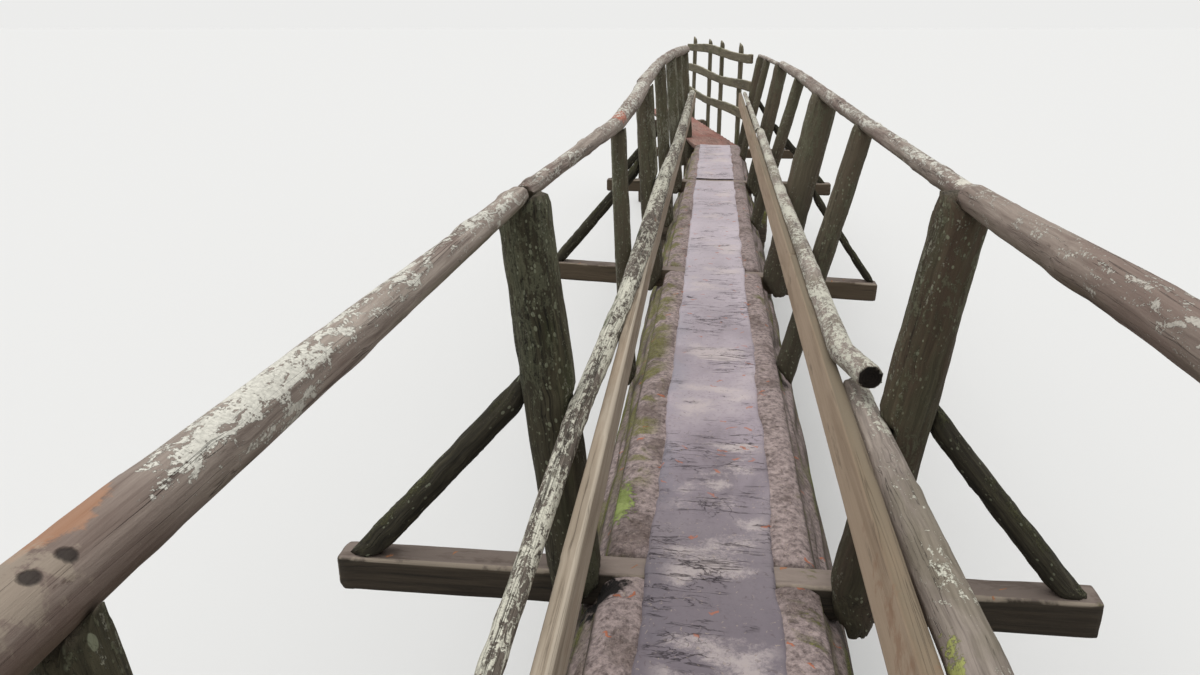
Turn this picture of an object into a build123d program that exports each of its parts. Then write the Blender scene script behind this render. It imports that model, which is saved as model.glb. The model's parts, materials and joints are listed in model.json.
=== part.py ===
from build123d import *
import os
from math import asin, atan2, cos, degrees, pi, radians, sin, sqrt

# Timber footbridge: one hewn log carries the walk, cross beams carry posts, braces and pole rails.
# Millimetres. X is across the bridge, +Y along the walk from the near end, Z is up.
# The origin is on the floor, under the middle of the first ground log of the near crib.
# Inside this file Y is counted from the near end of the great log, and save() moves it to the origin.

# Peeled poles have this many flats round them
pole_flats = 12

# Great log
log_length = 12900
deck_height = 1500
log_radius_near = 475
log_radius_far = 395
deck_share = 0.72
shoulder_width_share = 0.115
shoulder_drop_share = 0.08
log_sways = [0, -20, -20, 20]
log_flats = 26

# Cross beams
first_beam = 650
last_beam_beyond_log = 750
beam_width = 100
beam_depth = 116
beam_proud = 0
beam_chamfer = 5
beam_left_reach = [1060, 1120, 1100, 1050, 980]
beam_right_reach = [1090, 1040, 975, 1075, 1000]
beam_tilts = [0, -0.5, 2.2, 0, 0]
notch_headroom = 40
beam_count = len(beam_left_reach)

# Posts that stand on the beams
post_radius_left = [92, 86, 68, 63, 60]
post_radius_right = [88, 82, 98, 78, 62]
post_taper = 0.9
post_setback = 30
post_foot_outset_left = 78
post_foot_outset_right = 62
post_head_below_rail = 12

# Slim posts between the beams
slim_radii_left = [44, 44, 56, 46]
slim_radii_right = [48, 56, 52, 46]
slim_taper = 0.92
slim_foot_outset_left = 86
slim_foot_outset_right = 10
slim_foot_drop = 100
slim_shift_left = [-90, 0, 60, -40]
slim_shift_right = [60, 90, -50, 30]

# Handrails. Each pole has stations along its length: share of the length, outward, up, radius
rail_height = 1080
rail_half_left = (550, 440)
rail_half_right = (580, 520)
rail_start = 60
rail_overhang = 420
rail_poles_left = [
    [(0, 0, 0, 51), (0.55, 15, 14, 43), (0.8, 13, 3, 37), (1, 12, -3, 32)],
    [(0, 18, -3, 30), (0.25, -31, 5, 33), (0.5, -48, -10, 41), (0.75, -45, 15, 46), (1, -20, 40, 49)],
    [(0, -22, 35, 49), (0.27, 0, 70, 43), (0.48, 0, 65, 50), (0.72, 13, 30, 58), (1, 5, -15, 60)],
]
rail_poles_right = [
    [(0, 0, 0, 58), (0.5, 24, 10, 54), (0.74, 20, 15, 51), (0.88, -12, 18, 44), (1, -28, 22, 38)],
    [(0, 22, -10, 37), (0.28, 17, -10, 38), (0.5, 28, -15, 45), (0.75, 36, -13, 44), (1, 12, -11, 40)],
    [(0, -2, -14, 29), (0.5, -14, -40, 28), (1, 0, -85, 26)],
]
rail_joint_beams_left = [1, 2]
rail_joint_beams_right = [1, 3]
scarf_lean = 32
scarf_overrun = 180

# Knee braces: distance of the foot from the beam's end, height at the post, radius
braces_left = [(45, 620, 43), (45, 620, 43), (30, 700, 40), (40, 640, 42), (40, 600, 42)]
braces_right = [(30, 570, 39), (30, 570, 39), (28, 590, 28), (40, 580, 36), (40, 560, 36)]
brace_butt = 1.1
brace_setback = 6

# Pole rails at half height and the sawn planks inside them, with stations as for the handrails
mid_height = 520
mid_half_near = 378
mid_half_far = 352
mid_start = 120
mid_poles_left = [
    [(0, -10, 0, 30), (0.4, 7, 0, 28), (0.52, 11, 0, 35), (0.67, -20, 8, 42), (0.8, -28, 20, 51), (1, -20, 22, 52)],
    [(0, -20, 22, 52), (0.25, -38, 18, 48), (0.6, -28, 10, 47), (1, -16, 5, 44)],
]
mid_poles_right = [
    [(0, -6, 0, 48), (0.35, 8, 0, 51), (0.7, 24, -15, 55), (1, 0, -45, 50)],
    [(0, 5, 85, 43), (0.05, -28, 46, 43), (0.12, -18, 12, 45), (0.57, -18, 0, 45), (1, 6, 0, 42)],
    [(0, -12, 8, 34), (0.5, -4, 4, 32), (1, 0, 0, 30)],
]
mid_pole_gap = 4
mid_right_near_overrun = 250
mid_right_middle_lead = 20
mid_right_second_joint = 0.85
plank_thickness = 38
plank_depth_left = 135
plank_depth_right = 178
plank_inset_left = 45
plank_inset_right = 57
plank_near_turn_left = 60
plank_near_turn_right = 0
plank_top_above_pole = 12
plank_rabbet = 60
plank_joint = 4

# Tread mat along the walk
mat_left = 203
mat_right = 185
mat_thickness = 5
mat_clear = 14

# Timber cribs under both ends of the great log
crib_timber = 240
crib_width = 298
crib_flat = 176
crib_length = 1150
crib_spread = 720
crib_inset = 720
saddle_length = 1250
saddle_width = 372
saddle_flat = 220
saddle_cradle = 80

# Landing slab that turns left past the far end
landing_turn = 11
landing_length = 4600
landing_half = 262
landing_depth = 170
landing_lap = 120
landing_cradle = 30

# Trestles under the landing
pile_radius = 95
sleeper_pile_spread = 1240
cap_pile_spread = 760
cap_left_reach = 450
cap_size = 170
far_trestle_inset = 450

# Fence of wavy slabs along the outside of the landing
fence_side = 380
fence_near_overhang = 900
fence_bays = [1300, 950, 1450]
fence_bays_before_trestle = 2
fence_far_overhang = 450
fence_post_radius = 74
fence_post_top = 1140
fence_peak = 60
fence_peak_radius = 22
fence_rail_depth = 130
fence_rail_thickness = 36
fence_rail_heights = [200, 590, 960]
fence_wave_top = 26
fence_wave_bottom = 16
fence_waves = 1.2
fence_wave_lag = 1.7
fence_wave_points = 6

bay = (log_length + last_beam_beyond_log - first_beam) / (beam_count - 1)
beam_places = [first_beam + bay * i for i in range(beam_count)]
plank_seam = (beam_places[1] + beam_places[2]) / 2
rail_end = beam_places[-1] + rail_overhang
beam_top = deck_height + beam_proud
sleeper_top = deck_height - landing_depth + landing_cradle
trestle_place = landing_length - far_trestle_inset
fence_start = trestle_place - fence_near_overhang - sum(fence_bays[:fence_bays_before_trestle])


def along(near, far, y):
    """Value at a place along the walk, between its near and far values."""
    return near + (far - near) * y / log_length


def log_radius(y):
    return along(log_radius_near, log_radius_far, y)


def deck_half(y):
    return log_radius(y) * deck_share


def log_underside(y):
    """Height of the great log's underside."""
    return deck_height - log_radius(y) * (1 + sqrt(1 - deck_share**2) + shoulder_drop_share)


def mid_half(y):
    return along(mid_half_near, mid_half_far, y)


def ring(frame, radius):
    """The section of a pole that is peeled to narrow flats all round."""
    return frame * RegularPolygon(radius, pole_flats, rotation=180 / pole_flats)


def stations(side, start, stop, table, line, height):
    """Places (x, y, z, radius) of a pole that runs along Y beside the given line."""
    places = []
    for share, out, up, radius in table:
        y = start + (stop - start) * share
        places.append((side * (line(y) + out), y, deck_height + height + up, radius))
    return places


def pole(places):
    """A peeled pole that runs along Y through the given places."""
    rings = [ring(Plane(origin=(x, y, z), x_dir=(1, 0, 0), z_dir=(0, 1, 0)), radius) for x, y, z, radius in places]
    return loft(Sketch() + rings, ruled=True)


def straight_pole(start, end, start_radius, end_radius):
    """A straight tapering pole between two points, in a plane across the bridge."""
    axis = Vector(*end) - Vector(*start)
    foot = Plane(origin=start, x_dir=(0, 1, 0), z_dir=axis)
    return loft(Sketch() + [ring(foot, start_radius), ring(foot.offset(axis.length), end_radius)], ruled=True)


def biggest(shape):
    """The largest solid of a cut, without the offcuts."""
    return max(shape.solids(), key=lambda solid: solid.volume)


# Great log with its top hewn flat and the edges of the walk worn round
def log_section(y, sway):
    radius = log_radius(y)
    half = deck_half(y)
    drop = radius * shoulder_drop_share
    inset = radius * shoulder_width_share
    centre = -drop - sqrt(radius**2 - half**2)
    edge = atan2(-drop - centre, half)
    sweep = pi + 2 * edge
    corners = [(-half + inset, 0), (half - inset, 0)]
    for flat in range(log_flats + 1):
        angle = edge - sweep * flat / log_flats
        corners.append((radius * cos(angle), centre + radius * sin(angle)))
    frame = Plane(origin=(sway, y, deck_height), x_dir=(1, 0, 0), z_dir=(0, -1, 0))
    return frame * make_face(Polyline(*corners, close=True))


def make_great_log():
    spans = len(log_sways) - 1
    sections = [log_section(log_length * k / spans, sway) for k, sway in enumerate(log_sways)]
    return loft(Sketch() + sections, ruled=True)


# Cross beams let into notches across the walk, and one under the landing
def beam_level(i):
    return beam_top if beam_places[i] < log_length else sleeper_top


def beam_frame(i):
    across = (beam_right_reach[i] - beam_left_reach[i]) / 2
    return Pos(across, beam_places[i], beam_level(i) - beam_depth / 2) * Rot(0, beam_tilts[i], 0)


def beam_block(i):
    return Box(beam_left_reach[i] + beam_right_reach[i], beam_width, beam_depth)


def make_beam(i):
    block = beam_block(i)
    return beam_frame(i) * chamfer(block.edges().filter_by(Axis.X), beam_chamfer)


def make_notch(i):
    """The beam's bed in the great log, open upward."""
    length = beam_left_reach[i] + beam_right_reach[i]
    return beam_frame(i) * Pos(0, 0, notch_headroom / 2) * Box(length, beam_width, beam_depth + notch_headroom)


# Handrails: three poles on each side, scarfed over the posts
rail_lines = {-1: rail_half_left, 1: rail_half_right}
rail_tables = {-1: rail_poles_left, 1: rail_poles_right}
rail_joints = {
    -1: [beam_places[i] - post_setback for i in rail_joint_beams_left],
    1: [beam_places[i] - post_setback for i in rail_joint_beams_right],
}


def rail_half(side):
    """The straight line in plan that a handrail keeps to."""
    return lambda y: along(*rail_lines[side], y)


def rail_places(side):
    """Stations of the poles of one handrail, each running a little past its joints."""
    joints = rail_joints[side]
    starts = [rail_start] + [joint - scarf_overrun for joint in joints]
    stops = [joint + scarf_overrun for joint in joints] + [rail_end]
    return [stations(side, start, stop, table, rail_half(side), rail_height)
            for start, stop, table in zip(starts, stops, rail_tables[side])]


def rail_axis(side, y):
    """Middle of the handrail, in x and z, at a place along the walk."""
    turn = sum(y > joint for joint in rail_joints[side])
    places = rail_places(side)[turn]
    for (x0, y0, z0, _), (x1, y1, z1, _) in zip(places, places[1:]):
        if y <= y1:
            break
    share = (y - y0) / (y1 - y0)
    return x0 + (x1 - x0) * share, z0 + (z1 - z0) * share


def scarf(y):
    slope = radians(scarf_lean)
    return Plane(origin=(0, y, deck_height + rail_height), z_dir=(0, cos(slope), sin(slope)))


def make_handrail(side):
    """The poles of one handrail, each cut to its neighbour along a slanting scarf."""
    joints = rail_joints[side]
    poles = []
    for i, places in enumerate(rail_places(side)):
        rail = pole(places)
        if i:
            rail = split(rail, bisect_by=scarf(joints[i - 1]), keep=Keep.TOP)
        if i < len(joints):
            rail = split(rail, bisect_by=scarf(joints[i]), keep=Keep.BOTTOM)
        poles.append(biggest(rail))
    return poles


# Posts lean outward from the log to the handrail
def lean(y, z, side, foot_outset):
    """Place across the bridge of a leaning post's axis, at one height."""
    low = side * (deck_half(y) + foot_outset)
    head, top = rail_axis(side, y)
    return low + (head - low) * (z - deck_height) / (top - deck_height)


def leaning_post(y, low, side, foot_outset, radius, taper):
    high = rail_axis(side, y)[1] - post_head_below_rail
    start = (lean(y, low, side, foot_outset), y, low)
    end = (lean(y, high, side, foot_outset), y, high)
    return straight_pole(start, end, radius, radius * taper)


def post_foot_outset(side):
    return post_foot_outset_left if side < 0 else post_foot_outset_right


def make_beam_post(i, side):
    radius = (post_radius_left if side < 0 else post_radius_right)[i]
    low = beam_level(i) - beam_depth
    return leaning_post(beam_places[i] - post_setback, low, side, post_foot_outset(side), radius, post_taper)


def make_slim_post(i, side):
    shift = (slim_shift_left if side < 0 else slim_shift_right)[i]
    radius = (slim_radii_left if side < 0 else slim_radii_right)[i]
    outset = slim_foot_outset_left if side < 0 else slim_foot_outset_right
    return leaning_post(beam_places[i] + bay / 2 + shift, deck_height - slim_foot_drop, side, outset, radius, slim_taper)


def make_brace(i, side):
    """A brace that stands on the beam, near its end, and leans in to the post."""
    inset, rise, radius = (braces_left if side < 0 else braces_right)[i]
    y = beam_places[i] - brace_setback
    reach = (beam_left_reach if side < 0 else beam_right_reach)[i]
    start = (side * (reach - inset), y, beam_level(i) - beam_depth / 2)
    high = deck_height + rise
    end = (lean(y, high, side, post_foot_outset(side)), y, high)
    brace = straight_pole(start, end, radius * brace_butt, radius)
    return split(brace, bisect_by=Plane(beam_frame(i)).offset(beam_depth / 2), keep=Keep.TOP)


# Pole rails at half height
def make_mid_poles(side):
    if side < 0:
        joint = beam_places[2]
        spans = [(mid_start, joint), (joint + mid_pole_gap, rail_end)]
        tables = mid_poles_left
    else:
        near_stop = beam_places[1] + mid_right_near_overrun
        middle_start = beam_places[1] + mid_right_middle_lead
        joint = beam_places[2] + bay * mid_right_second_joint
        spans = [(mid_start, near_stop), (middle_start, joint), (joint + mid_pole_gap, rail_end)]
        tables = mid_poles_right
    return [pole(stations(side, start, stop, table, mid_half, mid_height))
            for (start, stop), table in zip(spans, tables)]


def make_plank(side, start, stop, near_turn=0, rabbet=0, longer=0):
    """A sawn plank on edge inside the pole rail, or the bigger block that the pole is rabbeted by."""
    inset = plank_inset_left if side < 0 else plank_inset_right
    depth = plank_depth_left if side < 0 else plank_depth_right
    length = stop - start
    x_start = side * (mid_half(start) - inset - near_turn)
    x_stop = side * (mid_half(stop) - inset)
    turn = degrees(asin((x_start - x_stop) / length))
    top = deck_height + mid_height + plank_top_above_pole
    place = Location(((x_start + x_stop) / 2, (start + stop) / 2, top - depth / 2), (0, 0, turn))
    return place * Pos(-side * rabbet / 2, 0, 0) * Box(plank_thickness + rabbet, length + longer * 2, depth)


def make_planks(side, **block):
    """The near and far planks of one side, which meet end to end."""
    near_turn = plank_near_turn_left if side < 0 else plank_near_turn_right
    return [
        make_plank(side, mid_start, plank_seam - plank_joint / 2, near_turn, **block),
        make_plank(side, plank_seam + plank_joint / 2, rail_end, **block),
    ]


# Cribs: two ground timbers, two sleepers and a saddle that the log lies in
def crib_log(length, width, flat, height):
    """A timber along X with hewn top and bottom and round flanks."""
    low = -height / 2
    high = height / 2
    outline = [Line((-flat / 2, low), (flat / 2, low)), Line((-flat / 2, high), (flat / 2, high))]
    for side in (-flat / 2, flat / 2):
        outline.append(ThreePointArc((side, low), (side * width / flat, 0), (side, high)))
    return extrude(Plane.YZ * make_face(outline), length / 2, both=True)


def make_crib(y):
    timber = crib_log(crib_length, crib_width, crib_flat, crib_timber)
    ground = [Pos(0, y + s * crib_spread / 2, crib_timber / 2) * timber for s in (-1, 1)]
    sleepers = [Pos(s * crib_spread / 2, y, crib_timber * 1.5) * Rot(0, 0, 90) * timber for s in (-1, 1)]
    return ground, sleepers


def make_saddle(y):
    height = log_underside(y) + saddle_cradle - crib_timber * 2
    return Pos(0, y, crib_timber * 2 + height / 2) * crib_log(saddle_length, saddle_width, saddle_flat, height)


# Landing: a split log laid flat side up, turned to the left
landing_frame = Plane(origin=(0, log_length, 0)).rotated((0, 0, landing_turn))


def make_landing():
    radius = (landing_half**2 + landing_depth**2) / (2 * landing_depth)
    with BuildSketch(Plane(origin=(0, -landing_lap, deck_height), x_dir=(1, 0, 0), z_dir=(0, -1, 0))) as section:
        with BuildLine():
            Line((-landing_half, 0), (landing_half, 0))
            ThreePointArc((landing_half, 0), (0, -landing_depth), (-landing_half, 0))
        make_face()
    slab = landing_frame.location * extrude(section.sketch, -landing_length - landing_lap)
    return split(slab, bisect_by=Plane(origin=(0, log_length, 0), z_dir=(0, 1, 0)), keep=Keep.TOP)


def make_cap_trestle():
    """Two piles under the far end of the landing, and a cap that also reaches a post of the fence."""
    cap_bottom = sleeper_top - cap_size
    cap_right_reach = landing_half + fence_side
    cap = Box(cap_left_reach + cap_right_reach, cap_size, cap_size)
    trestle = Pos((cap_right_reach - cap_left_reach) / 2, trestle_place, cap_bottom + cap_size / 2) * cap
    for s in (-1, 1):
        trestle += Pos(s * cap_pile_spread / 2, trestle_place, 0) * Cylinder(
            pile_radius, cap_bottom, align=(Align.CENTER, Align.CENTER, Align.MIN))
    return landing_frame.location * trestle


def make_sleeper_piles():
    height = sleeper_top - beam_depth
    return [Pos(s * sleeper_pile_spread / 2, beam_places[-1], 0) * Cylinder(
        pile_radius, height, align=(Align.CENTER, Align.CENTER, Align.MIN)) for s in (-1, 1)]


# Fence of three wavy slabs nailed to half-round posts
def make_fence_rail(height, phase):
    """A slab rail with a wavy top and bottom edge."""
    length = fence_near_overhang + sum(fence_bays) + fence_far_overhang
    upper = []
    lower = []
    for step in range(fence_wave_points):
        share = step / (fence_wave_points - 1)
        place = fence_start + length * share
        swing = sin(phase + share * fence_waves * 2 * pi)
        upper.append((place, height + fence_rail_depth / 2 + fence_wave_top * swing))
        lower.append((place, height - fence_rail_depth / 2 + fence_wave_bottom * swing))
    with BuildSketch(Plane.YZ) as outline:
        with BuildLine():
            Spline(*upper)
            Line(upper[-1], lower[-1])
            Spline(*lower[::-1])
            Line(lower[0], upper[0])
        make_face()
    return extrude(outline.sketch, -fence_rail_thickness)


def make_fence_post(place):
    """A half-round post with its flat side to the walk and a peaked head."""
    height = deck_height + fence_post_top
    upright = (Align.CENTER, Align.CENTER, Align.MIN)
    shaft = Cylinder(fence_post_radius, height - fence_peak, align=upright)
    head = Pos(0, 0, height - fence_peak) * Cone(fence_post_radius, fence_peak_radius, fence_peak, align=upright)
    outer_half = Box(fence_post_radius, fence_post_radius * 2, height, align=(Align.MIN, Align.CENTER, Align.MIN))
    return Pos(0, place, 0) * ((shaft + head) & outer_half)


def make_fence():
    """The posts and the rails, which meet at the posts' flat sides."""
    frame = landing_frame.location * Pos(landing_half + fence_side, 0, 0)
    places = [fence_start + fence_near_overhang + sum(fence_bays[:k]) for k in range(len(fence_bays) + 1)]
    posts = [frame * make_fence_post(place) for place in places]
    rails = [frame * make_fence_rail(deck_height + height, turn * fence_wave_lag)
             for turn, height in enumerate(fence_rail_heights)]
    return posts, rails


# Tread mat: one strip in each bay, between the beams
def make_mat():
    ends = [0] + [y for y in beam_places if y < log_length] + [log_length]
    strips = []
    for i in range(len(ends) - 1):
        start = ends[i] + (mat_clear + beam_width / 2 if i else mat_clear)
        stop = ends[i + 1] - mat_clear - (beam_width / 2 if i < len(ends) - 2 else 0)
        strip = Box(mat_left + mat_right, stop - start, mat_thickness, align=(Align.CENTER, Align.MIN, Align.MIN))
        strips.append(Pos((mat_right - mat_left) / 2, start, deck_height) * strip)
    return strips


os.makedirs("parts", exist_ok=True)


datum = Pos(0, crib_spread / 2 - crib_inset, 0)


def save(name, *solids):
    moved = [datum * solid for solid in solids]
    shape = moved[0] if len(moved) == 1 else Compound(children=moved)
    export_step(shape, f"parts/{name}.step")


sides = {-1: "left", 1: "right"}

# Great log, landing and cross beams
great_log = make_great_log()
for i in range(beam_count - 1):
    great_log -= make_notch(i)
landing = make_landing()
save("great_log", great_log)
save("landing_slab", landing)

beams = [make_beam(i) for i in range(beam_count)]
beams[-1] = biggest(beams[-1] - landing)
for i, beam in enumerate(beams):
    save(f"cross_beam_{i + 1}", beam)

# Rails
rail_spans = ["near", "middle", "far"]
handrails = {}
mid_poles = {}
for side, name in sides.items():
    handrails[side] = make_handrail(side)
    for span, rail in zip(rail_spans, handrails[side]):
        save(f"handrail_{name}_{span}", rail)
    save(f"plank_rail_{name}", *make_planks(side))
    mid_poles[side] = make_mid_poles(side)
    for block in make_planks(side, rabbet=plank_rabbet, longer=plank_joint):
        mid_poles[side] = [biggest(mid_pole - block) for mid_pole in mid_poles[side]]
    save(f"pole_rail_{name}", *mid_poles[side])

# Posts and braces, cut to the log, the beams and the rails that they carry
posts = {}
for i in range(beam_count):
    for side, name in sides.items():
        post = make_beam_post(i, side) - beams[i] - great_log - landing
        for rail in handrails[side] + mid_poles[side]:
            post -= rail
        posts[i, side] = biggest(post)
        save(f"post_{name}_{i + 1}", posts[i, side])

for i in range(beam_count):
    pair = []
    for side in sides:
        pair.append(biggest(make_brace(i, side) - make_beam_post(i, side)))
    save(f"knee_braces_{i + 1}", *pair)

for i in range(beam_count - 1):
    pair = []
    for side in sides:
        post = make_slim_post(i, side) - great_log
        for rail in handrails[side] + mid_poles[side]:
            post -= rail
        pair.append(biggest(post))
    save(f"slim_posts_{i + 1}", *pair)

save("tread_mat", *make_mat())

# Cribs and trestles
for name, y in (("near", crib_inset), ("far", log_length - crib_inset)):
    ground, sleepers = make_crib(y)
    save(f"crib_{name}_ground_logs", *ground)
    save(f"crib_{name}_sleepers", *sleepers)
    save(f"crib_{name}_saddle", biggest(make_saddle(y) - great_log))
save("sleeper_piles", *make_sleeper_piles())
save("landing_trestle", biggest(make_cap_trestle() - landing))
fence_posts, fence_rails = make_fence()
save("fence_posts", *fence_posts)
save("fence_rails", *fence_rails)
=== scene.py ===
import json

import bmesh
import bpy
import numpy as np
from mathutils import Matrix, Vector

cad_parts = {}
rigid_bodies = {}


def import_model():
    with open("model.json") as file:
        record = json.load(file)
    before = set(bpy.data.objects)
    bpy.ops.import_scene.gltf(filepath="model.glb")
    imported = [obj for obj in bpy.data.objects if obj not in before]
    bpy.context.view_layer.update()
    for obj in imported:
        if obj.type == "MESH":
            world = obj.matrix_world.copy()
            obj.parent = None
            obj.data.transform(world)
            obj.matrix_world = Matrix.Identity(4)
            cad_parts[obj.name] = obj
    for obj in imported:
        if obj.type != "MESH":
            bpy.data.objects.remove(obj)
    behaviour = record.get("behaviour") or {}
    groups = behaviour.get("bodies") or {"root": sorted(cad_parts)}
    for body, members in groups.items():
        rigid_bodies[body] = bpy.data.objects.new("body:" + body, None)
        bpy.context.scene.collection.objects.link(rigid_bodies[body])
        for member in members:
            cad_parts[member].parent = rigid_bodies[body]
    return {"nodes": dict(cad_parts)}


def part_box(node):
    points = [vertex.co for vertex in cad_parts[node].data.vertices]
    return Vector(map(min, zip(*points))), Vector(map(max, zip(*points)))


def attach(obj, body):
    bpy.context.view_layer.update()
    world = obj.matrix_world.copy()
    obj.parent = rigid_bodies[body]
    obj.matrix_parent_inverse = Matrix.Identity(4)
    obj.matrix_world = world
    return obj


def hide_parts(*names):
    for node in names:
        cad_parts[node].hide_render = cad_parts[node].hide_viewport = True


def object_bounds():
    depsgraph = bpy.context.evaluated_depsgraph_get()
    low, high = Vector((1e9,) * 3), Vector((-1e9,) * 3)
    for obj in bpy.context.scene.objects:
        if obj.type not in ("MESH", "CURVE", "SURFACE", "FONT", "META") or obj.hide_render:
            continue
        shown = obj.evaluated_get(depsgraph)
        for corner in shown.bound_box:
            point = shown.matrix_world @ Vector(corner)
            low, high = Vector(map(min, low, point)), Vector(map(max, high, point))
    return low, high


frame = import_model()
cad_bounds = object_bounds()

# Places that the frame gives
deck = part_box("tread_mat")[0][2]
beam_boxes = [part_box(f"cross_beam_{i}") for i in range(1, 6)]
beam_y = [(low[1] + high[1]) / 2 for low, high in beam_boxes]

# The picture's camera, from the vanishing point of the rails and the places of the cross beams
image_width = 1200
focal_pixels = 906
vanish_x = 716
vanish_y = 14
centre_x = 600
centre_y = 337.5
eye_height = 1.5
eye_side = -0.065
eye_before_beam = 2.24


# Numbers: noise on arrays of points
def cells(ix, iy, iz, seed):
    """A number from 0 to 1 for each lattice cell."""
    with np.errstate(over="ignore"):
        n = ix.astype(np.uint32) * np.uint32(374761393) + iy.astype(np.uint32) * np.uint32(668265263)
        n = n + iz.astype(np.uint32) * np.uint32(2246822519) + np.uint32((seed * 3266489917) % 4294967296)
        n = (n ^ (n >> np.uint32(13))) * np.uint32(1274126177)
    return ((n ^ (n >> np.uint32(16))) & np.uint32(65535)) / 65535.0


def noise(points, seed=0):
    """Smooth value noise, 0 to 1."""
    base = np.floor(points)
    f = points - base
    f = f * f * (3 - 2 * f)
    i = base.astype(np.int64)
    total = 0
    for dx in (0, 1):
        for dy in (0, 1):
            for dz in (0, 1):
                weight = np.abs(1 - dx - f[:, 0]) * np.abs(1 - dy - f[:, 1]) * np.abs(1 - dz - f[:, 2])
                total = total + weight * cells(i[:, 0] + dx, i[:, 1] + dy, i[:, 2] + dz, seed)
    return total


def layered(points, octaves=4, seed=0):
    """Noise summed over octaves, 0 to 1."""
    total = 0
    size = 1.0
    reach = 0.0
    for k in range(octaves):
        total = total + noise(points * 2**k, seed + k * 17) * size
        reach += size
        size *= 0.5
    return total / reach


def ridged(points, octaves=3, seed=0):
    """Noise with sharp creases, 0 at a crease and 1 between."""
    return np.abs(layered(points, octaves, seed) * 2 - 1)


def rising(value, start, span):
    """0 up to start, 1 from start + span on, and straight between."""
    return np.clip((value - start) / span, 0, 1)


# Meshes
def mesh_points(mesh):
    """The places of a mesh's points, as rows of three."""
    points = np.empty(len(mesh.vertices) * 3)
    mesh.vertices.foreach_get("co", points)
    return points.reshape(-1, 3)


def loose_solids(node):
    """The closed shells of a CAD node, as lists of (points, faces)."""
    bm = bmesh.new()
    bm.from_mesh(frame["nodes"][node].data)
    bmesh.ops.remove_doubles(bm, verts=bm.verts, dist=1e-5)
    bm.verts.index_update()
    seen = set()
    shells = []
    for start in bm.verts:
        if start.index in seen:
            continue
        seen.add(start.index)
        stack = [start]
        members = []
        while stack:
            vert = stack.pop()
            members.append(vert)
            for edge in vert.link_edges:
                other = edge.other_vert(vert)
                if other.index not in seen:
                    seen.add(other.index)
                    stack.append(other)
        place = {vert.index: k for k, vert in enumerate(members)}
        points = np.array([vert.co[:] for vert in members])
        faces = {face for vert in members for face in vert.link_faces}
        faces = [[place[v.index] for v in face.verts] for face in sorted(faces, key=lambda f: f.index)]
        shells.append((points, faces))
    bm.free()
    return shells


def new_object(name, points, faces, smooth=True):
    """An object in the scene, made of points and faces."""
    mesh = bpy.data.meshes.new(name)
    mesh.from_pydata([tuple(p) for p in points], [], faces)
    mesh.update()
    for polygon in mesh.polygons:
        polygon.use_smooth = smooth
    thing = bpy.data.objects.new(name, mesh)
    bpy.context.scene.collection.objects.link(thing)
    return thing


def remeshed(points, faces, voxel, along, stretch):
    """The shell as a quad mesh with softened edges, with cells that are longer along the timber."""
    squeeze = np.eye(3) - (1 - 1 / stretch) * np.outer(along, along)
    thing = new_object("work", points @ squeeze, faces)
    mesher = thing.modifiers.new("grid", "REMESH")
    mesher.mode = "VOXEL"
    mesher.voxel_size = voxel
    softener = thing.modifiers.new("soften", "SMOOTH")
    softener.iterations = 2
    softener.factor = 0.5
    depsgraph = bpy.context.evaluated_depsgraph_get()
    depsgraph.update()
    mesh = bpy.data.meshes.new_from_object(thing.evaluated_get(depsgraph))
    result = mesh_points(mesh) @ np.linalg.inv(squeeze)
    mesh.vertices.foreach_set("co", result.ravel())
    mesh.update()
    normals = np.empty(len(mesh.vertices) * 3)
    mesh.vertices.foreach_get("normal", normals)
    sides = [tuple(polygon.vertices) for polygon in mesh.polygons]
    old = thing.data
    bpy.data.objects.remove(thing)
    bpy.data.meshes.remove(old)
    bpy.data.meshes.remove(mesh)
    return result, normals.reshape(-1, 3), sides


def long_axis(points):
    """Unit vector along a shell, pointing up or along +Y."""
    centred = points - points.mean(axis=0)
    axis = np.linalg.svd(centred, full_matrices=False)[2][0]
    if axis[1] + axis[2] < 0:
        axis = -axis
    return axis


def side_axes(axis):
    """Two unit vectors across an axis."""
    helper = np.array([0.0, 1.0, 0.0]) if abs(axis[1]) < 0.7 else np.array([1.0, 0.0, 0.0])
    first = np.cross(axis, helper)
    first /= np.linalg.norm(first)
    return first, np.cross(axis, first)


def grid_faces(first, rows, columns, turned=False):
    """Squares over a grid of points that starts at number first."""
    faces = []
    for row in range(rows - 1):
        for column in range(columns - 1):
            corner = first + row * columns + column
            square = (corner, corner + 1, corner + columns + 1, corner + columns)
            faces.append(square[::-1] if turned else square)
    return faces


def grain_of(points, axis):
    """Places measured across and along a timber: two across, then one along."""
    first, second = side_axes(axis)
    return np.stack([points @ first, points @ second, points @ axis], axis=1)


def centred(grain):
    """Grain places measured from the timber's own centre line, so that the pattern follows its bends."""
    step = 0.05
    along = grain[:, 2]
    cell = ((along - along.min()) / step).astype(int)
    count = np.bincount(cell)
    full = count > 0
    middle = along.min() + (np.flatnonzero(full) + 0.5) * step
    result = grain.copy()
    for k in (0, 1):
        centre = np.bincount(cell, grain[:, k])[full] / count[full]
        result[:, k] -= np.interp(along, middle, centre)
    return result


def keep_inside(points):
    """Points pulled back into the CAD model's box."""
    margin = 1e-4
    return np.clip(points, np.array(cad_bounds[0]) + margin, np.array(cad_bounds[1]) - margin)


def add_attribute(thing, name, kind, values):
    """Values stored on a mesh's points, for its material to read."""
    attribute = thing.data.attributes.new(name, kind, "POINT")
    attribute.data.foreach_set("vector" if kind == "FLOAT_VECTOR" else "value", values.astype(np.float32).ravel())


seed_step = 3
pattern_step = 1.37  # metres along the grain from one piece's pattern to the next piece's


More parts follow.
